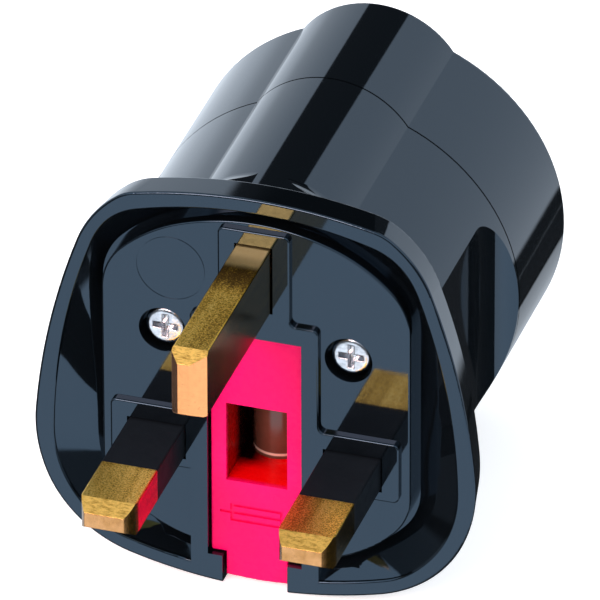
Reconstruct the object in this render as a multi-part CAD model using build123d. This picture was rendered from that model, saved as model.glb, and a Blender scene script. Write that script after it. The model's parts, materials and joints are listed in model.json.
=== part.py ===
from build123d import *
import math
import os

# Travel adapter: a three-pin mains plug face on a flange at the front and a
# round recessed socket at the rear, joined by a short lobed body.
# All sizes in millimetres. While drawing, Y = 0 is the plane that meets the wall
# socket, the line and neutral pins lie at Z = 0, the pins point to -Y and the
# earth pin is uppermost. Everything is moved at the end, so that the finished
# part stands with the centre of its underside at the origin.

# ---------------------------------------------------------------- driving sizes
PIN_X = 11.11            # line and neutral pins, each side of the centre
EARTH_Z = 22.22          # earth pin above the line and neutral pins
LN_W, LN_T = 6.35, 3.97  # line and neutral pin section
E_W, E_H = 3.97, 7.92    # earth pin section
LN_LEN, E_LEN = 18.0, 23.0
SLEEVE_END = 9.2         # insulated length of the line and neutral pins
SLEEVE_WALL = 0.6

FLANGE_T = 4.0           # depth of the flange's side wall
ISLAND_Y = 0.6           # plate is recessed by this much
MOAT_Y = 2.8             # floor of the groove round the plate
RIM_STEP = 0.35          # straight part of the rim's inner wall
SEAM_Y = 28.0            # parting line between the two housings
REAR_Y = 45.0            # rear end of the socket
SEAM_GAP = 0.22          # width of the groove along it, 0.3 deep
PLATE_BACK = 4.0         # inner face of the pin plate

BODY_Z = 7.21            # axis of the round body and of the socket
BODY_R = 21.39
LOBE_OFF = 13.70         # lobe axes above and below the body axis
LOBE_R = 10.43
WALL = 1.8
GRIP_X = 18.1            # flats on the two sides
GRIP_Y = 22.4            # where the flat turns into the scoop
GRIP_R = 5.6

WELL_R = 19.5            # socket recess
CONTACT_X = 9.5          # contact holes at 19 mm spacing
CONTACT_R = 2.7
FLOOR_BACK = 25.9        # inner face of the socket floor

CAR_W, CAR_TOP, CAR_STEP, CAR_TAB, CAR_BOT = 5.19, 14.5, -13.6, 3.5, -16.7
CAR_Y, CAR_T = 0.84, 3.0
FUSE_Y, FUSE_R, FUSE_LO, FUSE_HI = 9.45, 3.175, -12.2, 13.2

SCREW_X, SCREW_Z = 10.5, 13.5
SHUTTER_TRAVEL = 5.6
RIVET_X = (-7.95, -11.05)

# Outlines as chains of tangent arcs down the right half, from the top centre.
OUTER = (32.051, (61.756, 5.0, 13.412, 86.287, 17.565, 14.303, 54.14),
         (12.727, 24.554, 32.522, 15.307, 26.752, 52.837, 15.301))
FLANGE_BACK = (31.784, (56.388, 7.445, 13.293, 78.308, 20.409, 15.053, 48.711), OUTER[2])
INNER = (30.253, (47.684, 7.15, 10.646, 72.786, 13.856, 8.757, 51.497),
         (16.113, 39.58, 14.083, 19.32, 51.066, 23.194, 16.644))
ISLAND = (28.732, (25.046, 18.35, 7.283, 0, 6.462, 16.489, 38.755),
          (19.704, 25.564, 44.732, 20.94, 42.486, 38.338, 9.176))

os.makedirs("parts", exist_ok=True)


# ---------------------------------------------------------------- helpers
def half_chain(chain):
    """Points (start, middle, end) of each arc; radius 0 is a straight run whose
    length stands in the place of the turn."""
    top, radii, turns = chain
    x, z, a = 0.0, top, 0.0
    out = []
    for r, t in zip(radii, turns):
        if r == 0:
            x2, z2 = x + t * math.cos(a), z - t * math.sin(a)
            out.append(((x, z), None, (x2, z2)))
        else:
            s = math.radians(t)
            cx, cz = x - r * math.sin(a), z - r * math.cos(a)
            mid = (cx + r * math.sin(a + s / 2), cz + r * math.cos(a + s / 2))
            x2, z2 = cx + r * math.sin(a + s), cz + r * math.cos(a + s)
            out.append(((x, z), mid, (x2, z2)))
            a += s
        x, z = x2, z2
    p, m, q = out[-1]
    out[-1] = (p, m, (0.0, q[1]))
    return out


def outline(chain):
    h = half_chain(chain)
    edges = []
    top_end, bot_start = h[0][2], h[-1][0]
    edges.append(ThreePointArc((-top_end[0], top_end[1]), h[0][0], top_end))
    for p, m, q in h[1:-1]:
        edges.append(Line(p, q) if m is None else ThreePointArc(p, m, q))
    edges.append(ThreePointArc(bot_start, h[-1][2], (-bot_start[0], bot_start[1])))
    for p, m, q in reversed(h[1:-1]):
        a, b = (-q[0], q[1]), (-p[0], p[1])
        edges.append(Line(a, b) if m is None else ThreePointArc(a, (-m[0], m[1]), b))
    return make_face(edges)


def face_plane(y):
    return Plane(origin=(0, y, 0), x_dir=(1, 0, 0), z_dir=(0, -1, 0))


def slab(sk, y0, y1):
    return extrude(face_plane(y0) * sk, amount=-(y1 - y0))


def block(x0, x1, y0, y1, z0, z1):
    return Pos((x0 + x1) / 2, (y0 + y1) / 2, (z0 + z1) / 2) * Box(
        abs(x1 - x0), abs(y1 - y0), abs(z1 - z0))


def rect(x0, x1, z0, z1):
    return Pos((x0 + x1) / 2, (z0 + z1) / 2) * Rectangle(abs(x1 - x0), abs(z1 - z0))


def ycyl(x, z, r, y0, y1):
    return Pos(x, (y0 + y1) / 2, z) * Rot(90, 0, 0) * Cylinder(r, y1 - y0)


def zcyl(x, y, r, z0, z1):
    return Pos(x, y, (z0 + z1) / 2) * Cylinder(r, z1 - z0)


def xprism(pts, x0, x1):
    """Polygon given as (y, z) points, extruded from x0 to x1."""
    pl = Plane(origin=(x0, 0, 0), x_dir=(0, 1, 0), z_dir=(1, 0, 0))
    return extrude(pl * make_face(Polyline(*pts, close=True)), amount=x1 - x0)


def zprism_face(face, z0, z1):
    """Face in (x, y), extruded from z0 to z1."""
    return extrude(Pos(0, 0, z0) * face, amount=z1 - z0)


def strip(points, t):
    """Bent strip: centre line points (u, v) thickened by t with mitred corners."""
    n = len(points)
    left, right = [], []
    for i, (u, v) in enumerate(points):
        if i == 0:
            d1 = d2 = (points[1][0] - u, points[1][1] - v)
        elif i == n - 1:
            d1 = d2 = (u - points[i - 1][0], v - points[i - 1][1])
        else:
            d1 = (u - points[i - 1][0], v - points[i - 1][1])
            d2 = (points[i + 1][0] - u, points[i + 1][1] - v)
        l1, l2 = math.hypot(*d1), math.hypot(*d2)
        n1, n2 = (-d1[1] / l1, d1[0] / l1), (-d2[1] / l2, d2[0] / l2)
        bx, by = n1[0] + n2[0], n1[1] + n2[1]
        k = t / 2 / ((bx * n1[0] + by * n1[1]) or 1) * 1.0
        left.append((u + bx * k, v + by * k))
        right.append((u - bx * k, v - by * k))
    return left + right[::-1]


def select(shape, test):
    return ShapeList([e for e in shape.edges() if test(e)])


nodes = {}

# ---------------------------------------------------------------- body sections
def section(circle_r, lobe_r):
    c = Pos(0, BODY_Z) * Circle(circle_r)
    for s in (1, -1):
        c += Pos(0, BODY_Z + s * LOBE_OFF) * Circle(lobe_r)
    return c


def scoop(r, flat_x, y0, y1):
    """Volume outside the side flats and scoops, both sides."""
    v = None
    for s in (1, -1):
        piece = block(s * flat_x, s * 40, y0, GRIP_Y, -40, 60)
        piece += zcyl(s * (GRIP_X + GRIP_R), GRIP_Y, r, -40, 60) & block(
            s * 5, s * 40, GRIP_Y - 0.5, y1, -40, 60)
        v = piece if v is None else v + piece
    return v


# ---------------------------------------------------------------- front housing
# The flange's side wall draws in towards the back, and the groove round the
# plate slopes from just inside the rim down to the foot of the plate.
inner_face = outline(INNER)
island_face = outline(ISLAND)
foot_face = offset(outline(ISLAND), 0.55)
outer_front = face_plane(0) * outline(OUTER)
flange = loft([outer_front, face_plane(FLANGE_T) * outline(FLANGE_BACK)], ruled=True)
moat = loft([face_plane(RIM_STEP) * inner_face, face_plane(MOAT_Y) * foot_face], ruled=True)
moat += slab(inner_face, -2, RIM_STEP)
front = flange - moat


def along(shape, face):
    """Edges of shape that lie on the outline of a flat face."""
    wire = face.face().outer_wire()
    y = (wire @ 0).Y
    return select(shape, lambda e: abs((e @ 0.5).Y - y) < 0.02
                  and wire.distance_to(e @ 0.5) < 0.05)


front = fillet(along(front, face_plane(0) * inner_face), 0.25)
front = fillet(along(front, outer_front), 0.25)
front = fillet(along(front, face_plane(FLANGE_T) * outline(FLANGE_BACK)), 0.3)

island = slab(island_face, ISLAND_Y, MOAT_Y + 0.4)
island = fillet(select(island, lambda e: abs(e.center().Y - ISLAND_Y) < 0.01), 0.2)

plat = rect(-4.05, 4.05, 16, 28.0) + rect(-7.26, 7.26, 3.0, 16.9)
plat += rect(-16.35, 16.35, -3.3, 4.1)
plat = fillet(plat.vertices(), 0.7)
plat += rect(-7.26, 7.26, -13.0, 0)
platform = slab(plat, 0, MOAT_Y + 0.4)
platform = fillet(select(platform, lambda e: abs(e.center().Y) < 0.01
                         and e.bounding_box().min.Z > -12.9), 0.2)
ribs = block(-7.26, 7.26, 0, MOAT_Y + 0.4, -16.0, -12.99)

front = front + island + platform + ribs

# Body of the front housing, with its flare behind the flange.
body = slab(section(BODY_R, LOBE_R), FLANGE_T - 0.5, SEAM_Y)


def flare(z, r, h=3.0, w=1.2):
    """Concave skirt that widens a lobe where it meets the flange."""
    rho = (h * h + w * w) / (2 * w)
    m = h / 2
    off_m = rho - math.sqrt(rho * rho - m * m)
    prof = make_face([
        Line((0, FLANGE_T - 0.3), (r + w, FLANGE_T - 0.3)),
        Line((r + w, FLANGE_T - 0.3), (r + w, FLANGE_T)),
        ThreePointArc((r + w, FLANGE_T), (r + off_m, FLANGE_T + m), (r, FLANGE_T + h)),
        Line((r, FLANGE_T + h), (0, FLANGE_T + h)),
        Line((0, FLANGE_T + h), (0, FLANGE_T - 0.3)),
    ])
    return Pos(0, 0, z) * revolve(prof, axis=Axis.Y)


skirt = flare(BODY_Z + LOBE_OFF, LOBE_R) + flare(BODY_Z - LOBE_OFF, LOBE_R)
body += skirt & slab(offset(outline(FLANGE_BACK), -0.55), FLANGE_T - 0.3, FLANGE_T + 3.2)
body -= scoop(GRIP_R, GRIP_X, FLANGE_T, 40)

front += body & block(-40, 40, 0, SEAM_Y, -40, 60)
# Shadow groove along the parting line.
front -= slab(section(BODY_R + 1, LOBE_R + 1), SEAM_Y - SEAM_GAP, SEAM_Y + 1) - slab(
    section(BODY_R - 0.3, LOBE_R - 0.3), SEAM_Y - 1, SEAM_Y + 2)

# Hollow inside: round, lobed, and narrowed at the grips.
hollow = slab(section(BODY_R - WALL, LOBE_R - 1.6), PLATE_BACK, SEAM_Y + 1)
hollow -= scoop(GRIP_R + 1.5, GRIP_X - 1.7, 0, 27.1)
hollow += slab((Pos(0, BODY_Z) * Circle(BODY_R - WALL)) & rect(-18.3, 18.3, -40, 60),
               25.8, 27.2)
hollow += slab((Pos(0, BODY_Z) * Circle(20.25)) & rect(-19.75, 19.75, -40, 60),
               27.15, SEAM_Y + 1)
front -= hollow

# Boss round each screw and its recess in the plate.
for s in (1, -1):
    front += ycyl(s * SCREW_X, SCREW_Z, 3.15, PLATE_BACK - 0.5, 8.0)
    front -= ycyl(s * SCREW_X, SCREW_Z, 2.7, -1, 3.2)
    front -= ycyl(s * SCREW_X, SCREW_Z, 1.6, 3, 9)

# Guide walls beside the fuse carrier.
for s in (1, -1):
    front += block(s * 5.45, s * 6.6, PLATE_BACK - 0.5, 6.2, -12.0, 14.65)

# Openings in the plate: carrier, its tab, and the three pins.
front -= block(-5.35, 5.35, -1, 7, -13.75, 14.65)
front -= block(-3.7, 3.7, -1, 3.2, -20, -13.7)
g = 0.17
front -= block(-E_W / 2 - g, E_W / 2 + g, -1, 6, EARTH_Z - E_H / 2 - g, EARTH_Z + E_H / 2 + g)
for s in (1, -1):
    front -= block(s * PIN_X - LN_W / 2 - g, s * PIN_X + LN_W / 2 + g, -1, 6,
                   -LN_T / 2 - g, LN_T / 2 + g)
# Faint witness ring of a round core in the mould, on the left of the plate.
front -= slab(Pos(-9.5, 21.5) * (Circle(3.92) - Circle(3.78)), ISLAND_Y - 0.2, ISLAND_Y + 0.06)
nodes["front_housing"] = front

# ---------------------------------------------------------------- rear housing
rear = slab(section(BODY_R, LOBE_R), SEAM_Y, REAR_Y)
rear = fillet(select(rear, lambda e: abs(e.center().Y - REAR_Y) < 0.01), 0.5)
rear += slab((Pos(0, BODY_Z) * Circle(20.2)) & rect(-19.7, 19.7, -40, 60),
             27.2, SEAM_Y + 0.01)
rear += slab((Pos(0, BODY_Z) * Circle(WELL_R)) & rect(-18.2, 18.2, -40, 60),
             FLOOR_BACK, 27.3)
well = slab(Pos(0, BODY_Z) * Circle(WELL_R), SEAM_Y, REAR_Y + 1)
rear -= well
# Pockets in the lobes for the earth clips, open into the recess and forwards.
for s in (1, -1):
    za, zb = BODY_Z + s * 15.0, BODY_Z + s * 22.4
    pocket = block(-3.6, 3.6, 24, 43.3, za, zb) & ycyl(0, BODY_Z, 30, 24, 43.3)
    pocket -= ycyl(0, BODY_Z, WELL_R - 0.6, 20, 28.0)
    rear -= pocket
# Contact holes with a countersunk mouth.
for s in (1, -1):
    rear -= ycyl(s * CONTACT_X, BODY_Z, CONTACT_R, 24, 30)
    cone = Pos(s * CONTACT_X, SEAM_Y - 0.35, BODY_Z) * Rot(-90, 0, 0) * Cone(
        CONTACT_R, CONTACT_R + 0.7, 0.7)
    rear -= cone
# Screw posts with their pilot holes.
for s in (1, -1):
    rear += ycyl(s * SCREW_X, SCREW_Z, 2.9, 8.2, FLOOR_BACK + 0.3)
    rear -= ycyl(s * SCREW_X, SCREW_Z, 1.35, 8, 19)
# Rails beside the shutter, stop for its spring, and pegs for the contact block.
for s in (1, -1):
    rear += block(s * 12.75, s * 13.6, 22.5, FLOOR_BACK + 0.2, -1.2, 10.2)
    rear += ycyl(s * 13.6, -3.6, 1.15, 18.6, FLOOR_BACK + 0.2)
rear += block(-2.6, 2.6, 20.9, FLOOR_BACK + 0.2, -9.0, -7.8)
nodes["rear_housing"] = rear


# ---------------------------------------------------------------- pins
def ln_pin(cx):
    # Coined end: sloping top and bottom, curved sides.
    side = Polyline((-LN_LEN, 0.895), (-LN_LEN + 1.65, LN_T / 2), (14, LN_T / 2),
                    (14, -LN_T / 2), (-LN_LEN + 1.65, -LN_T / 2), (-LN_LEN, -0.895),
                    close=True)
    pl = Plane(origin=(-5, 0, 0), x_dir=(0, 1, 0), z_dir=(1, 0, 0))
    prof = extrude(pl * make_face(side), amount=10)
    w, wt = LN_W / 2, LN_W / 2 - 0.95
    top = make_face([
        ThreePointArc((wt, -LN_LEN), (w - 0.36, -LN_LEN + 1.05), (w, -LN_LEN + 2.38)),
        Line((w, -LN_LEN + 2.38), (w, 14)), Line((w, 14), (-w, 14)),
        Line((-w, 14), (-w, -LN_LEN + 2.38)),
        ThreePointArc((-w, -LN_LEN + 2.38), (-w + 0.36, -LN_LEN + 1.05), (-wt, -LN_LEN)),
        Line((-wt, -LN_LEN), (wt, -LN_LEN)),
    ])
    plan = zprism_face(top, -4, 4)
    pin = prof & plan
    pin = fillet(select(pin, lambda e: e.center().Y > -LN_LEN + 2.5
                        and e.length > 20), 0.22)
    # Thinner core under the sleeve and through the plate.
    cw, ct = w - SLEEVE_WALL, LN_T / 2 - SLEEVE_WALL
    pin -= block(-5, 5, -SLEEVE_END, 15, -4, 4) - block(-cw, cw, -20, 16, -ct, ct)
    pin = pin & block(-5, 5, -30, 7.4, -4, 4)
    pin += block(-4.0, 4.0, PLATE_BACK, 5.6, -2.8, 2.8)        # shoulder behind the plate
    pin += block(-1.5, 1.5, 7.0, 8.35, -0.95, 0.95)            # neck through the strip
    return Pos(cx, 0, 0) * pin


nodes["line_pin"] = ln_pin(-PIN_X)
nodes["neutral_pin"] = ln_pin(PIN_X)

for name, cx in (("line_pin_sleeve", -PIN_X), ("neutral_pin_sleeve", PIN_X)):
    w, t = LN_W / 2, LN_T / 2
    sl = block(cx - w, cx + w, -SLEEVE_END, PLATE_BACK, -t, t)
    sl = fillet(select(sl, lambda e: e.length > 12), 0.22)
    sl -= block(cx - w + SLEEVE_WALL, cx + w - SLEEVE_WALL, -20, 10,
                -t + SLEEVE_WALL, t - SLEEVE_WALL)
    nodes[name] = sl

h = E_H / 2
e_side = Polyline((-E_LEN, -h + 0.45), (-E_LEN + 0.8, -h), (16.6, -h), (16.6, h),
                  (-E_LEN + 1.57, h), (-E_LEN, h - 1.24), close=True)
pl = Plane(origin=(-5, 0, 0), x_dir=(0, 1, 0), z_dir=(1, 0, 0))
e_prof = extrude(pl * make_face(e_side), amount=10)
w = E_W / 2
e_top = Polyline((-w + 0.96, -E_LEN), (-w, -E_LEN + 1.07), (-w, 16.6), (w, 16.6),
                 (w, -E_LEN + 1.07), (w - 1.70, -E_LEN), close=True)
e_pin = e_prof & zprism_face(make_face(e_top), -6, 6)
e_pin = fillet(select(e_pin, lambda e: e.length > 30), 0.22)
e_pin = Pos(0, 0, EARTH_Z) * e_pin
# Shoulder behind the plate and the rivet's hole.
e_pin += block(-3.2, 3.2, PLATE_BACK, 6.4, EARTH_Z - 4.9, EARTH_Z + 4.9)
e_pin -= ycyl(0, EARTH_Z, 1.3, 12.0, 18)
nodes["earth_pin"] = e_pin

# ---------------------------------------------------------------- fuse carrier
tab = make_face([
    Line((-CAR_TAB, CAR_STEP + 0.5), (-CAR_TAB, CAR_BOT + 0.17)),
    ThreePointArc((-CAR_TAB, CAR_BOT + 0.17), (0, CAR_BOT), (CAR_TAB, CAR_BOT + 0.17)),
    Line((CAR_TAB, CAR_BOT + 0.17), (CAR_TAB, CAR_STEP + 0.5)),
    Line((CAR_TAB, CAR_STEP + 0.5), (-CAR_TAB, CAR_STEP + 0.5)),
])
car_face = rect(-CAR_W, CAR_W, CAR_STEP, CAR_TOP)
car_face = fillet(car_face.vertices(), 0.25)
car_face += tab
carrier = slab(car_face, CAR_Y, CAR_T)
carrier = fillet(select(carrier, lambda e: abs(e.center().Y - CAR_Y) < 0.01), 0.15)
cradle = block(-CAR_W, CAR_W, CAR_T - 0.5, 12.6, -6.1, 7.1)
cradle = fillet(select(cradle, lambda e: abs(e.center().Y - 12.6) < 0.01), 0.4)
carrier += cradle
carrier -= block(-3.47, 3.47, -1, FUSE_Y, -4.4, 5.4)
carrier -= zcyl(0, FUSE_Y, 3.06, -7, 8)
carrier -= block(-2.7, 2.7, FUSE_Y, 14, -7, 8)
# Plain engraved fuse symbol: a box with a line through it.
sym = rect(-3.0, 3.0, -9.55, -7.35) - rect(-2.66, 2.66, -9.21, -7.69)
sym += rect(-4.2, 4.2, -8.62, -8.28)
carrier -= slab(sym, CAR_Y - 0.2, CAR_Y + 0.22)
nodes["fuse_carrier"] = carrier

# ---------------------------------------------------------------- fuse
nodes["fuse_body"] = zcyl(0, FUSE_Y, 3.0, FUSE_LO + 0.35, FUSE_HI - 0.35)
for name, z0, z1, s in (("fuse_cap_upper", FUSE_HI - 6.0, FUSE_HI, 1),
                        ("fuse_cap_lower", FUSE_LO, FUSE_LO + 6.0, -1)):
    cap = zcyl(0, FUSE_Y, FUSE_R, z0, z1)
    end = z1 if s > 0 else z0
    cap = fillet(select(cap, lambda e: abs(e.center().Z - end) < 0.01), 0.3)
    cap -= zcyl(0, FUSE_Y, 3.0, FUSE_LO + 0.35, FUSE_HI - 0.35)
    nodes[name] = cap


# ---------------------------------------------------------------- fuse clips
def u_clip(z0, z1, y0, t=0.5):
    a, b = FUSE_R + 0.05, FUSE_R + 0.05 + t
    c = block(-b, b, y0, 13.5, z0, z1) - block(-a, a, y0 - 1, 13.0, z0 - 1, z1 + 1)
    return c


supply = u_clip(-11.5, -7.2, 7.4)
supply += slab(make_face(Polyline(
    (-3.45, -7.2), (-3.45, -10.2), (-7.4, -10.2), (-12.2, -5.6), (-13.0, -3.0),
    (-13.0, 1.9), (-9.2, 1.9), (-9.2, -4.2), (-6.8, -7.2), close=True)), 7.4, 8.0)
supply -= block(-PIN_X - 1.5, -PIN_X + 1.5, 7, 8.5, -0.95, 0.95)
nodes["supply_fuse_clip"] = supply

load = u_clip(7.6, 10.0, 6.8)
load += block(-12.4, -FUSE_R - 0.3, 6.8, 7.4, 7.6, 10.0)
for x in RIVET_X:
    load -= ycyl(x, 8.8, 0.6, 6, 8)
nodes["load_fuse_clip"] = load


# ---------------------------------------------------------------- socket contacts
def fork(s):
    """Two spring leaves with flared mouths, either side of the socket pin."""
    c = None
    for d in (-1, 1):
        # (x, y) centre line from the base to the mouth
        x0 = CONTACT_X + d * 2.85
        pts = [(x0, 7.6), (x0, 12.0), (CONTACT_X + d * 2.60, 16.6), (CONTACT_X + d * 3.1, 18.9)]
        leaf = zprism_face(make_face(Polyline(*strip(pts, 0.5), close=True)), 4.8, 9.6)
        c = leaf if c is None else c + leaf
    if s < 0:
        c = mirror(c, about=Plane.YZ)
    return c


neutral = fork(1)
neutral += block(CONTACT_X - 3.1, CONTACT_X + 3.1, 7.4, 8.0, 4.8, 9.6)
neutral += block(8.2, 13.6, 7.4, 8.0, -1.9, 4.9)
neutral -= block(PIN_X - 1.5, PIN_X + 1.5, 7, 8.5, -0.95, 0.95)
nodes["neutral_contact"] = neutral

line = fork(-1)
line += block(-CONTACT_X - 3.1, -CONTACT_X + 3.1, 7.4, 8.0, 4.8, 10.0)
for x in RIVET_X:
    line -= ycyl(x, 8.8, 0.6, 7, 9)
nodes["line_contact"] = line

rivets = None
for x in RIVET_X:
    r = ycyl(x, 8.8, 0.6, 6.4, 8.3) + ycyl(x, 8.8, 1.1, 6.4, 6.8) + ycyl(x, 8.8, 0.85, 8.0, 8.35)
    rivets = [r] if rivets is None else rivets + [r]
nodes["contact_rivets"] = rivets

# ---------------------------------------------------------------- earth bracket
ARM_Q = 20.3


def arm_points(s):
    q = [(17.0, ARM_Q), (33.5, ARM_Q), (38.2, 16.7), (41.6, 18.6)]
    return [(y, BODY_Z + s * v) for y, v in q]


up, dn = arm_points(1), arm_points(-1)
path = up[::-1] + dn
bracket_pts = strip(path, 0.8)
bracket_face = make_face(Polyline(*bracket_pts, close=True))
bracket_face = fillet(bracket_face.vertices(), 0.3)
pl = Plane(origin=(-3.0, 0, 0), x_dir=(0, 1, 0), z_dir=(1, 0, 0))
bracket = extrude(pl * bracket_face, amount=6.0)
bracket -= ycyl(0, EARTH_Z, 1.3, 15, 19)
nodes["earth_bracket"] = bracket
nodes["earth_rivet"] = ycyl(0, EARTH_Z, 1.3, 12.4, 17.5) + fillet(
    select(ycyl(0, EARTH_Z, 2.3, 17.4, 18.3), lambda e: abs(e.center().Y - 18.3) < 0.01), 0.4)

# ---------------------------------------------------------------- contact block
cb = block(-14.4, 14.4, 8.6, 20.3, 3.5, 10.35)
cb -= block(-5.55, 5.55, 8, 14.2, 0, 20)                      # room for the cradle
cb -= block(-3.2, 3.2, 16.55, 21, 0, 20)                      # channel for the bracket
for s in (1, -1):
    cb -= block(s * 5.9, s * 13.1, 8, 19.1, 4.6, 9.9)
    cb -= ycyl(s * CONTACT_X, BODY_Z, 2.65, 18, 21)
    cb += block(s * 11.6, s * 15.0, 19.1, 20.3, -5.0, 3.6)
    cb -= ycyl(s * 13.6, -3.6, 1.2, 18, 21)
nodes["contact_block"] = cb

# ---------------------------------------------------------------- shutter
wing = xprism([(20.5, 10.2), (20.5, 4.0), (25.6, 4.0), (25.6, 4.9), (21.7, 10.2)], 6.4, 12.6)
shutter = wing + mirror(wing, about=Plane.YZ)
shutter += block(-6.5, 6.5, 20.5, 22.4, 4.0, 8.2)
shutter += block(-2.6, 2.6, 20.5, 25.6, 4.0, 6.4)
shutter += zcyl(0, 23.2, 1.0, 2.6, 4.1)
nodes["shutter"] = shutter

SPR_R, SPR_WIRE = 1.55, 0.2
SPR_LO, SPR_HI = -7.8, 4.0
turns = 8
height = SPR_HI - SPR_LO - 2 * SPR_WIRE - 0.06
helix = Helix(pitch=height / turns, height=height, radius=SPR_R)
start = helix @ 0
tangent = helix % 0
coil = sweep(Plane(origin=start, z_dir=tangent) * Circle(SPR_WIRE), path=helix)
nodes["shutter_spring"] = Pos(0, 23.2, SPR_LO + SPR_WIRE + 0.03) * coil


# ---------------------------------------------------------------- screws
def screw(x):
    head = ycyl(x, SCREW_Z, 2.3, 1.4, 3.2)
    head = fillet(select(head, lambda e: abs(e.center().Y - 1.4) < 0.01), 0.55)
    s = head + ycyl(x, SCREW_Z, 1.35, 3.1, 18.0)
    cross = block(x - 1.4, x + 1.4, 1.0, 2.5, SCREW_Z - 0.34, SCREW_Z + 0.34)
    cross += block(x - 0.34, x + 0.34, 1.0, 2.5, SCREW_Z - 1.4, SCREW_Z + 1.4)
    return s - cross


nodes["housing_screws"] = [screw(-SCREW_X), screw(SCREW_X)]

# ---------------------------------------------------------------- write the parts
half = half_chain(OUTER)
BOTTOM_Z = half[-1][2][1]
SHIFT = Location((0, -(REAR_Y - E_LEN) / 2, -BOTTOM_Z))
print("shift", -(REAR_Y - E_LEN) / 2, -BOTTOM_Z)
for name, shape in nodes.items():
    if isinstance(shape, list):
        shape = Compound(children=[Solid(p.solids()[0].wrapped) for p in shape])
    solids = shape.solids()
    moved = [s.moved(SHIFT) for s in solids]
    out = moved[0] if len(moved) == 1 else Compound(children=moved)
    export_step(out, os.path.join("parts", name + ".step"))
    print(name, len(moved), [round(s.volume, 1) for s in moved], all(s.is_valid for s in moved))
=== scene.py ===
import json
import math

import bpy
from mathutils import Matrix, Vector

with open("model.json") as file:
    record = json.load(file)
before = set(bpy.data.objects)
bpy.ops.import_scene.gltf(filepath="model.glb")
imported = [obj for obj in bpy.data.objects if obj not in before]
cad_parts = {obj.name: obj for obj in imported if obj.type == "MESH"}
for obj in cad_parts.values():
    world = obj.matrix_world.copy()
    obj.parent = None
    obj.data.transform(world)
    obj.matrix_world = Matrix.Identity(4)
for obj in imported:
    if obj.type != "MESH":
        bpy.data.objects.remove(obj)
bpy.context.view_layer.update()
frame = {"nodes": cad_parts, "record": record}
nodes = frame["nodes"]
scene = bpy.context.scene

# Metres. Row frame: +Z up, pins point to -Y, origin under the middle.
MM = 0.001


# ---------------------------------------------------------------- node helpers
class Mat:
    """Small helper that builds one procedural material."""

    def __init__(self, name):
        self.mat = bpy.data.materials.new(name)
        self.mat.use_nodes = True
        self.nt = self.mat.node_tree
        self.nt.nodes.clear()
        self.out = self.nt.nodes.new("ShaderNodeOutputMaterial")
        self.bsdf = self.nt.nodes.new("ShaderNodeBsdfPrincipled")
        self.nt.links.new(self.bsdf.outputs["BSDF"], self.out.inputs["Surface"])
        self.coord = self.nt.nodes.new("ShaderNodeTexCoord").outputs["Object"]

    def set(self, **kw):
        for k, v in kw.items():
            self.bsdf.inputs[k.replace("_", " ")].default_value = v

    def link(self, a, b):
        self.nt.links.new(a, b)

    def put(self, value, socket):
        if hasattr(value, "is_output"):
            self.nt.links.new(value, socket)
        else:
            socket.default_value = value

    def mapping(self, scale=(1, 1, 1), rot=(0, 0, 0), loc=(0, 0, 0)):
        n = self.nt.nodes.new("ShaderNodeMapping")
        n.inputs["Scale"].default_value = scale
        n.inputs["Rotation"].default_value = rot
        n.inputs["Location"].default_value = loc
        self.link(self.coord, n.inputs["Vector"])
        return n.outputs["Vector"]

    def noise(self, scale, detail=3.0, rough=0.5, vec=None, dist=0.0):
        n = self.nt.nodes.new("ShaderNodeTexNoise")
        n.inputs["Scale"].default_value = scale
        n.inputs["Detail"].default_value = detail
        n.inputs["Roughness"].default_value = rough
        n.inputs["Distortion"].default_value = dist
        self.link(vec or self.coord, n.inputs["Vector"])
        return n.outputs["Fac"]

    def ramp(self, fac, stops):
        n = self.nt.nodes.new("ShaderNodeValToRGB")
        el = n.color_ramp.elements
        while len(el) > 1:
            el.remove(el[-1])
        for i, (p, c) in enumerate(stops):
            e = el[0] if i == 0 else el.new(p)
            e.position = p
            e.color = c if isinstance(c, tuple) else (c, c, c, 1)
        self.link(fac, n.inputs["Fac"])
        return n.outputs["Color"]

    def rng(self, v, a, b, c=0.0, d=1.0, smooth=False):
        n = self.nt.nodes.new("ShaderNodeMapRange")
        n.interpolation_type = "SMOOTHSTEP" if smooth else "LINEAR"
        for i, x in zip((1, 2, 3, 4), (a, b, c, d)):
            n.inputs[i].default_value = x
        self.put(v, n.inputs[0])
        return n.outputs[0]

    def math(self, op, a, b=None, clamp=False):
        n = self.nt.nodes.new("ShaderNodeMath")
        n.operation = op
        n.use_clamp = clamp
        self.put(a, n.inputs[0])
        if b is not None:
            self.put(b, n.inputs[1])
        return n.outputs[0]

    def mix(self, fac, a, b):
        n = self.nt.nodes.new("ShaderNodeMix")
        n.data_type = "RGBA"
        self.put(fac, n.inputs[0])
        self.put(a, n.inputs[6])
        self.put(b, n.inputs[7])
        return n.outputs[2]

    def xyz(self):
        n = self.nt.nodes.new("ShaderNodeSeparateXYZ")
        self.link(self.coord, n.inputs[0])
        return n.outputs[0], n.outputs[1], n.outputs[2]

    def normal(self):
        g = self.nt.nodes.new("ShaderNodeNewGeometry")
        n = self.nt.nodes.new("ShaderNodeSeparateXYZ")
        self.link(g.outputs["Normal"], n.inputs[0])
        return n.outputs[0], n.outputs[1], n.outputs[2]

    def bump(self, height, strength=0.2, distance=0.0001, normal=None):
        n = self.nt.nodes.new("ShaderNodeBump")
        n.inputs["Strength"].default_value = strength
        n.inputs["Distance"].default_value = distance
        self.link(height, n.inputs["Height"])
        if normal is not None:
            self.link(normal, n.inputs["Normal"])
        return n.outputs["Normal"]

    def bevel(self, radius, samples=6):
        n = self.nt.nodes.new("ShaderNodeBevel")
        n.samples = samples
        n.inputs["Radius"].default_value = radius
        return n.outputs["Normal"]


def rgba(r, g, b):
    return (r, g, b, 1.0)


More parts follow.
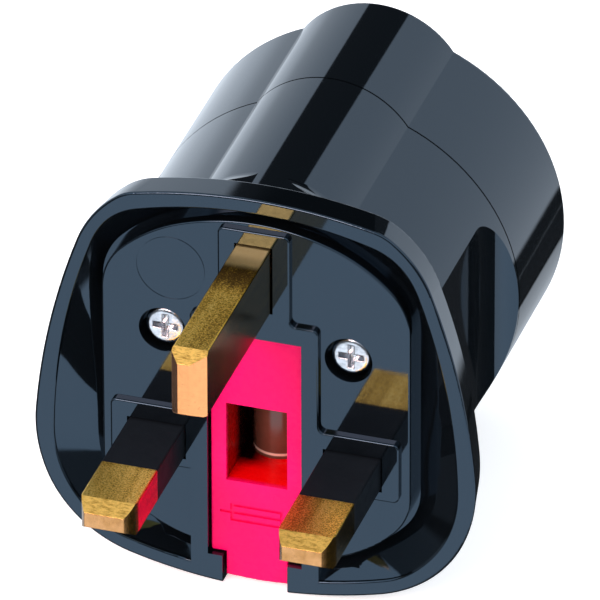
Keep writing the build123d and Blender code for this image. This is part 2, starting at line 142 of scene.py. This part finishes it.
# ---------------------------------------------------------------- materials
def gloss_black():
    """Polished moulded black: mirror gloss, faint waviness, a few hairlines."""
    m = Mat("black_plastic")
    m.set(Base_Color=rgba(0.0022, 0.0032, 0.0042), IOR=1.62)
    m.bsdf.inputs["Specular Tint"].default_value = rgba(0.50, 0.74, 1.0)
    wave = m.noise(140.0, 2.0, 0.45)
    grain = m.noise(2600.0, 3.0, 0.6)
    scr = m.noise(900.0, 4.0, 0.7, m.mapping((0.06, 1.0, 1.0), (0.3, 0.2, 0.5)))
    rough = m.math("ADD", m.rng(grain, 0.3, 0.75, 0.035, 0.075),
                   m.rng(scr, 0.62, 0.78, 0.0, 0.09))
    m.link(rough, m.bsdf.inputs["Roughness"])
    b1 = m.bump(wave, 0.05, 0.00012)
    b2 = m.bump(grain, 0.012, 0.00002, b1)
    m.link(b2, m.bsdf.inputs["Normal"])
    return m.mat


def satin_black():
    """Insulating sleeves: satin moulded black."""
    m = Mat("sleeve_plastic")
    n = m.noise(1800.0, 4.0, 0.6)
    m.link(m.mix(n, rgba(0.0056, 0.0070, 0.0090), rgba(0.0098, 0.0118, 0.0145)),
           m.bsdf.inputs["Base Color"])
    m.link(m.rng(m.noise(500.0), 0.3, 0.7, 0.38, 0.48), m.bsdf.inputs["Roughness"])
    m.bsdf.inputs["Specular Tint"].default_value = rgba(0.55, 0.72, 0.9)
    m.bsdf.inputs["Specular IOR Level"].default_value = 0.05
    m.link(m.bump(n, 0.10, 0.00003), m.bsdf.inputs["Normal"])
    return m.mat


def pin_brass():
    """Drawn brass: grainy satin flanks, brighter coined ends, wear specks."""
    m = Mat("pin_brass")
    x, y, z = m.xyz()
    nx, ny, nz = m.normal()
    end = m.rng(m.math("MULTIPLY", ny, -1.0), 0.35, 0.6, 0.0, 1.0, True)
    streak = m.noise(900.0, 5.0, 0.65, m.mapping((1.0, 0.10, 1.0)))
    speck = m.noise(5600.0, 5.0, 0.8)
    blotch = m.noise(420.0, 4.0, 0.6)
    tone = m.math("ADD", m.math("MULTIPLY", streak, 0.22), m.math("MULTIPLY", speck, 0.78))
    # The lower pins are handled less and stay brighter.
    tone = m.math("ADD", tone, m.rng(z, 0.020, 0.024, 0.022, 0.0))
    near = m.math("MULTIPLY", m.rng(x, 0.0070, 0.0090), m.rng(x, 0.0135, 0.0095))
    tone = m.math("SUBTRACT", tone, m.math("MULTIPLY", near, 0.045))
    # Handling has darkened the flanks a little way out from the plate.
    top = m.rng(nz, 0.5, 0.8)
    dull = m.math("MULTIPLY", m.rng(y, -0.0215, -0.0170, 0.0, 1.0, True),
                  m.rng(y, -0.0155, -0.0138, 1.0, 0.0, True))
    dull = m.math("MULTIPLY", dull, m.math("MULTIPLY", top, 0.15))
    tone = m.math("SUBTRACT", tone, dull)
    flank = m.ramp(tone, [(0.38, rgba(0.10, 0.048, 0.004)), (0.46, rgba(0.44, 0.245, 0.026)),
                          (0.53, rgba(0.92, 0.54, 0.078)), (0.60, rgba(1.0, 0.74, 0.22))])
    bright = m.mix(m.rng(blotch, 0.35, 0.68), rgba(0.50, 0.240, 0.082), rgba(0.68, 0.350, 0.150))
    wear = m.rng(m.noise(2300.0, 5.0, 0.7), 0.60, 0.70, 0.0, 0.55)
    bright = m.mix(wear, bright, rgba(0.27, 0.13, 0.045))
    root = m.math("MULTIPLY", m.rng(y, -0.0158, -0.0144, 0.0, 1.0, True), top)
    flank = m.mix(root, flank, m.mix(speck, rgba(0.88, 0.54, 0.17), rgba(1.0, 0.72, 0.32)))
    # Painted shade: faces that look sideways get a darker brass, standing in for the dark strip low at the
    # right that they mirror.
    side = m.rng(m.math("ABSOLUTE", nx), 0.5, 0.8)
    side_shade_brass = m.ramp(tone, [(0.38, rgba(0.06, 0.030, 0.004)), (0.50, rgba(0.28, 0.145, 0.020)),
                         (0.62, rgba(0.66, 0.37, 0.060))])
    flank = m.mix(side, flank, side_shade_brass)
    # Painted reflection: the speckled flank shows directly, but for every ray other than the camera's the top
    # faces high up take a bright brass, so their mirror image carries a painted highlight.
    seen = m.nt.nodes.new("ShaderNodeLightPath").outputs["Is Camera Ray"]
    clear = m.math("MULTIPLY", m.math("SUBTRACT", 1.0, seen), m.math("MULTIPLY", top, m.rng(z, 0.040, 0.042)))
    flank = m.mix(clear, flank, rgba(1.0, 0.66, 0.20))
    pale = m.rng(z, 0.030, 0.034)
    bright = m.mix(pale, bright, m.mix(wear, rgba(0.88, 0.355, 0.135), rgba(0.50, 0.18, 0.06)))
    # The coined slope above the end face is yellower and more worn.
    slope = m.rng(nz, 0.45, 0.7)
    drag = m.noise(3600.0, 4.0, 0.75, m.mapping((0.35, 1.0, 1.0)))
    coin = m.mix(m.rng(drag, 0.36, 0.56), rgba(0.33, 0.175, 0.032), rgba(0.74, 0.44, 0.105))
    bright = m.mix(slope, bright, coin)
    m.link(m.mix(end, flank, bright), m.bsdf.inputs["Base Color"])
    m.set(Metallic=1.0)
    r = m.rng(m.noise(1500.0, 4.0, 0.7), 0.3, 0.7, 0.17, 0.27)
    m.link(m.math("ADD", r, m.math("MULTIPLY", top, 0.16)), m.bsdf.inputs["Roughness"])
    bv = m.bevel(0.00010)
    b = m.bump(m.noise(3800.0, 4.0, 0.75, m.mapping((1.0, 0.45, 1.0))), 0.24, 0.00004, bv)
    m.link(b, m.bsdf.inputs["Normal"])
    return m.mat


def red_plastic():
    """Pinkish red moulded carrier with faint flow lines."""
    m = Mat("carrier_plastic")
    x, y, z = m.xyz()
    nx, ny, nz = m.normal()
    n = m.noise(260.0, 3.0, 0.5)
    face = m.mix(n, rgba(0.90, 0.0025, 0.108), rgba(0.98, 0.0035, 0.132))
    # Painted shade inside the window: a purer red stands in for light bounced between its walls, and a darker
    # red on the wall that faces right stands in for its shade.
    painted_bounce_red = m.mix(n, rgba(0.84, 0.0004, 0.0015), rgba(0.94, 0.0006, 0.0025))
    shade = m.mix(m.rng(nx, 0.4, 0.8), painted_bounce_red, rgba(0.30, 0.0003, 0.0010))
    # Painted shadow: deep in the window and towards its left the red goes nearly black, where the fuse's
    # shadow falls.
    depth = m.rng(y, -0.0072, -0.0052)
    left = m.rng(x, 0.0012, -0.0022)
    shade = m.mix(m.math("MULTIPLY", depth, left), shade, rgba(0.006, 0.0002, 0.0004))
    m.link(m.mix(m.rng(y, -0.0100, -0.0094), face, shade), m.bsdf.inputs["Base Color"])
    m.bsdf.inputs["Specular IOR Level"].default_value = 0.10
    m.link(m.rng(m.noise(1400.0, 3.0), 0.3, 0.7, 0.22, 0.34), m.bsdf.inputs["Roughness"])
    m.link(m.bump(m.noise(2400.0, 3.0), 0.06, 0.00003), m.bsdf.inputs["Normal"])
    return m.mat


def fuse_brown():
    """Glazed brown tube with a pale printed band near its lower cap."""
    m = Mat("fuse_ceramic")
    x, y, z = m.xyz()
    n = m.noise(900.0, 4.0, 0.6)
    base = m.mix(n, rgba(0.085, 0.028, 0.017), rgba(0.14, 0.050, 0.032))
    lo = m.rng(z, 0.01315, 0.01325, 0.0, 1.0)
    hi = m.rng(z, 0.01345, 0.01355, 1.0, 0.0)
    band = m.math("MULTIPLY", lo, hi)
    m.link(m.mix(band, base, rgba(0.72, 0.50, 0.40)), m.bsdf.inputs["Base Color"])
    m.link(m.rng(n, 0.3, 0.7, 0.16, 0.28), m.bsdf.inputs["Roughness"])
    m.link(m.bump(m.noise(1500.0), 0.05, 0.00003), m.bsdf.inputs["Normal"])
    return m.mat


def plated(name, col, rough, streak=(1.0, 1.0, 1.0), bev=0.00012, strength=0.12, low=0.72):
    m = Mat(name)
    n = m.noise(1600.0, 4.0, 0.65, m.mapping(streak))
    lo = tuple(c * low for c in col)
    m.link(m.mix(n, rgba(*lo), rgba(*col)), m.bsdf.inputs["Base Color"])
    m.set(Metallic=1.0)
    m.link(m.rng(m.noise(900.0, 4.0), 0.3, 0.7, rough * 0.75, rough * 1.3), m.bsdf.inputs["Roughness"])
    m.link(m.bump(n, strength, 0.00004, m.bevel(bev)), m.bsdf.inputs["Normal"])
    return m.mat


def moulded(name, a, b, rough):
    m = Mat(name)
    n = m.noise(700.0, 4.0, 0.6)
    m.link(m.mix(n, rgba(*a), rgba(*b)), m.bsdf.inputs["Base Color"])
    m.link(m.rng(n, 0.3, 0.7, rough * 0.85, rough * 1.15), m.bsdf.inputs["Roughness"])
    m.link(m.bump(m.noise(2000.0, 3.0), 0.08, 0.00003, m.bevel(0.0001)), m.bsdf.inputs["Normal"])
    return m.mat


MATS = {
    "black_plastic": gloss_black(),
    "sleeve_plastic": satin_black(),
    "pin_brass": pin_brass(),
    "carrier_plastic": red_plastic(),
    "fuse_ceramic": fuse_brown(),
    "nickel_plate": plated("nickel_plate", (0.80, 0.76, 0.70), 0.22),
    "spring_brass": plated("spring_brass", (0.74, 0.52, 0.24), 0.30),
    "bracket_brass": plated("bracket_brass", (0.76, 0.62, 0.38), 0.28, (1.0, 0.3, 1.0)),
    "rivet_steel": plated("rivet_steel", (0.62, 0.62, 0.62), 0.35),
    "insulator_plastic": moulded("insulator_plastic", (0.66, 0.64, 0.58), (0.78, 0.76, 0.70), 0.45),
    "shutter_plastic": moulded("shutter_plastic", (0.020, 0.021, 0.023), (0.034, 0.035, 0.038), 0.38),
    "spring_steel": plated("spring_steel", (0.60, 0.61, 0.63), 0.28),
    "screw_steel": plated("screw_steel", (0.86, 0.88, 0.93), 0.15, (0.6, 1.0, 1.0), 0.00025, 0.75, 0.18),
}
for sub in frame["record"]["subparts"]:
    ob = nodes[sub["node"]]
    mat = MATS[sub["material_slot"]]
    if len(ob.material_slots) == 0:
        ob.data.materials.append(mat)
    for s in ob.material_slots:
        s.material = mat

# ---------------------------------------------------------------- floor
floor_size = 3.0
me = bpy.data.meshes.new("floor")
s = floor_size
me.from_pydata([(-s, -s, 0), (s, -s, 0), (s, s, 0), (-s, s, 0)], [], [(0, 1, 2, 3)])
floor = bpy.data.objects.new("floor", me)
scene.collection.objects.link(floor)
fm = Mat("floor_paper")
fm.link(fm.mix(fm.noise(40.0, 3.0), rgba(0.93, 0.90, 0.87), rgba(0.95, 0.92, 0.89)),
        fm.bsdf.inputs["Base Color"])
fm.set(Roughness=0.9, Emission_Strength=0.55)
fm.bsdf.inputs["Emission Color"].default_value = rgba(1.0, 1.0, 1.0)
fm.bsdf.inputs["Specular IOR Level"].default_value = 0.1
me.materials.append(fm.mat)
floor.visible_glossy = False

# ---------------------------------------------------------------- surroundings
world = bpy.data.worlds.new("studio")
scene.world = world
world.use_nodes = True
wt = world.node_tree
wt.nodes.clear()
wout = wt.nodes.new("ShaderNodeOutputWorld")
bg = wt.nodes.new("ShaderNodeBackground")
wt.links.new(bg.outputs[0], wout.inputs[0])
wc = wt.nodes.new("ShaderNodeTexCoord")
sep = wt.nodes.new("ShaderNodeSeparateXYZ")
wt.links.new(wc.outputs["Generated"], sep.inputs[0])
WX, WY, WZ = sep.outputs


def wmath(op, a, b=None, c=None):
    n = wt.nodes.new("ShaderNodeMath")
    n.operation = op
    for i, v in enumerate((a, b, c)):
        if v is None:
            continue
        if hasattr(v, "is_output"):
            wt.links.new(v, n.inputs[i])
        else:
            n.inputs[i].default_value = v
    return n.outputs[0]


def wband(v, a, b, soft):
    """1 inside a..b, with soft edges."""
    out = None
    for lo, hi, x, y in ((a - soft, a + soft, 0.0, 1.0), (b - soft, b + soft, 1.0, 0.0)):
        n = wt.nodes.new("ShaderNodeMapRange")
        n.interpolation_type = "SMOOTHSTEP"
        for i, q in zip((1, 2, 3, 4), (lo, hi, x, y)):
            n.inputs[i].default_value = q
        wt.links.new(v, n.inputs[0])
        out = n.outputs[0] if out is None else wmath("MULTIPLY", out, n.outputs[0])
    return out


deg = math.degrees(1.0)
AZ = wmath("MULTIPLY", wmath("ARCTAN2", WX, WY), deg)     # 0 is +Y, positive to +X
EL = wmath("MULTIPLY", wmath("ARCSINE", WZ), deg)


def patch(a0, a1, e0, e1, sa=0.6, se=0.6):
    return wmath("MULTIPLY", wband(AZ, a0, a1, sa), wband(EL, e0, e1, se))


# Paper all round, brighter on the viewer's side.
front_side = wband(WY, -2.0, -0.05, 0.35)
level = wmath("ADD", 0.98, wmath("MULTIPLY", front_side, 0.58))
# Dark card behind and above the part, dark strip low at its right, dimmer
# paper below and behind, brighter paper low at the left.
for args, keep in (
        ((-23.3, 8.6, 24.0, 62.0, 0.5, 0.8), 0.04),
        ((-19.6, 8.6, 12.0, 28.0, 0.7, 1.0), 0.045),
        ((24.0, 88.0, -62.0, -21.0, 0.3, 1.0), 0.03),
        ((13.0, 24.0, -62.0, -23.6, 0.3, 1.0), 0.03),
        ((-13.0, 14.0, -33.2, -23.6, 0.6, 0.5), 0.03),
        ((-181.0, 181.0, -91.0, -52.0, 1.0, 4.0), 0.04),
        ((-145.0, -56.0, -52.0, -12.0, 3.0, 3.0), 0.05),
        ((-181.0, 181.0, 58.0, 91.0, 1.0, 5.0), 0.6),
        ((-60.0, 13.0, -80.0, -31.5, 1.5, 2.0), 0.62),
        ((-62.0, -24.0, -28.0, 0.0, 4.0, 5.0), 1.22),
):
    p = patch(*args)
    level = wmath("MULTIPLY", level, wmath("ADD", 1.0, wmath("MULTIPLY", p, keep - 1.0)))
# Dark band level with the viewer and dark card low in front, and the soft
# box over the left shoulder.
AZ_BACK = wmath("MULTIPLY", wmath("ARCTAN2", wmath("MULTIPLY", WX, -1.0), wmath("MULTIPLY", WY, -1.0)), deg)
for a0, a1, e0, e1, cut in ((-75.0, 75.0, -21.0, 19.0, -0.9), (28.0, 56.0, -56.0, -22.0, -0.93),
                            (-80.0, 28.0, -56.0, -46.5, -0.93)):
    band = wmath("MULTIPLY", wband(AZ_BACK, a0, a1, 1.5), wband(EL, e0, e1, 1.5))
    level = wmath("MULTIPLY", level, wmath("ADD", 1.0, wmath("MULTIPLY", band, cut)))
box = wmath("MULTIPLY", wband(AZ_BACK, 3.0, 33.0, 2.5), wband(EL, 23.5, 41.5, 2.0))
spill = wmath("MULTIPLY", wband(AZ_BACK, 14.0, 40.0, 2.0), wband(EL, 12.0, 20.0, 1.5))
level = wmath("ADD", level, wmath("MULTIPLY", spill, 1.9))
comb = wt.nodes.new("ShaderNodeCombineColor")
# The soft box is a little warmer than the paper.
for i, (k, w) in enumerate(((0.92, 17.0), (1.02, 10.5), (1.14, 8.5))):
    lit = wmath("ADD", level, wmath("MULTIPLY", box, w))
    wt.links.new(wmath("MULTIPLY", lit, k), comb.inputs[i])
wt.links.new(comb.outputs[0], bg.inputs["Color"])
bg.inputs["Strength"].default_value = 1.0

# ---------------------------------------------------------------- camera
AZ_D, EL_D, ROLL_D = 17.851, 31.626, -0.154
a, e, ro = map(math.radians, (AZ_D, EL_D, ROLL_D))
back = Vector((math.sin(a) * math.cos(e), -math.cos(a) * math.cos(e), math.sin(e)))
right = Vector((math.cos(a), math.sin(a), 0.0))
up = back.cross(right)
r2 = math.cos(ro) * right + math.sin(ro) * up
u2 = -math.sin(ro) * right + math.cos(ro) * up
target = Vector((0.0, -11.0, 32.26840252)) * MM
pos = target + back * 1.5 + r2 * 4.981 * MM + u2 * 3.870 * MM
cam = bpy.data.cameras.new("camera")
cam.lens = 13970.0 / 600.0 * 36.0
cam.sensor_width = 36.0
cam.sensor_fit = "HORIZONTAL"
cam.clip_start, cam.clip_end = 0.05, 50.0
co = bpy.data.objects.new("camera", cam)
scene.collection.objects.link(co)
rot = Matrix((r2, u2, back)).transposed()
co.matrix_world = Matrix.Translation(pos) @ rot.to_4x4()
scene.camera = co

scene.view_settings.view_transform = "Standard"
scene.view_settings.look = "None"
scene.cycles.use_denoising = True
scene.cycles.max_bounces = 10
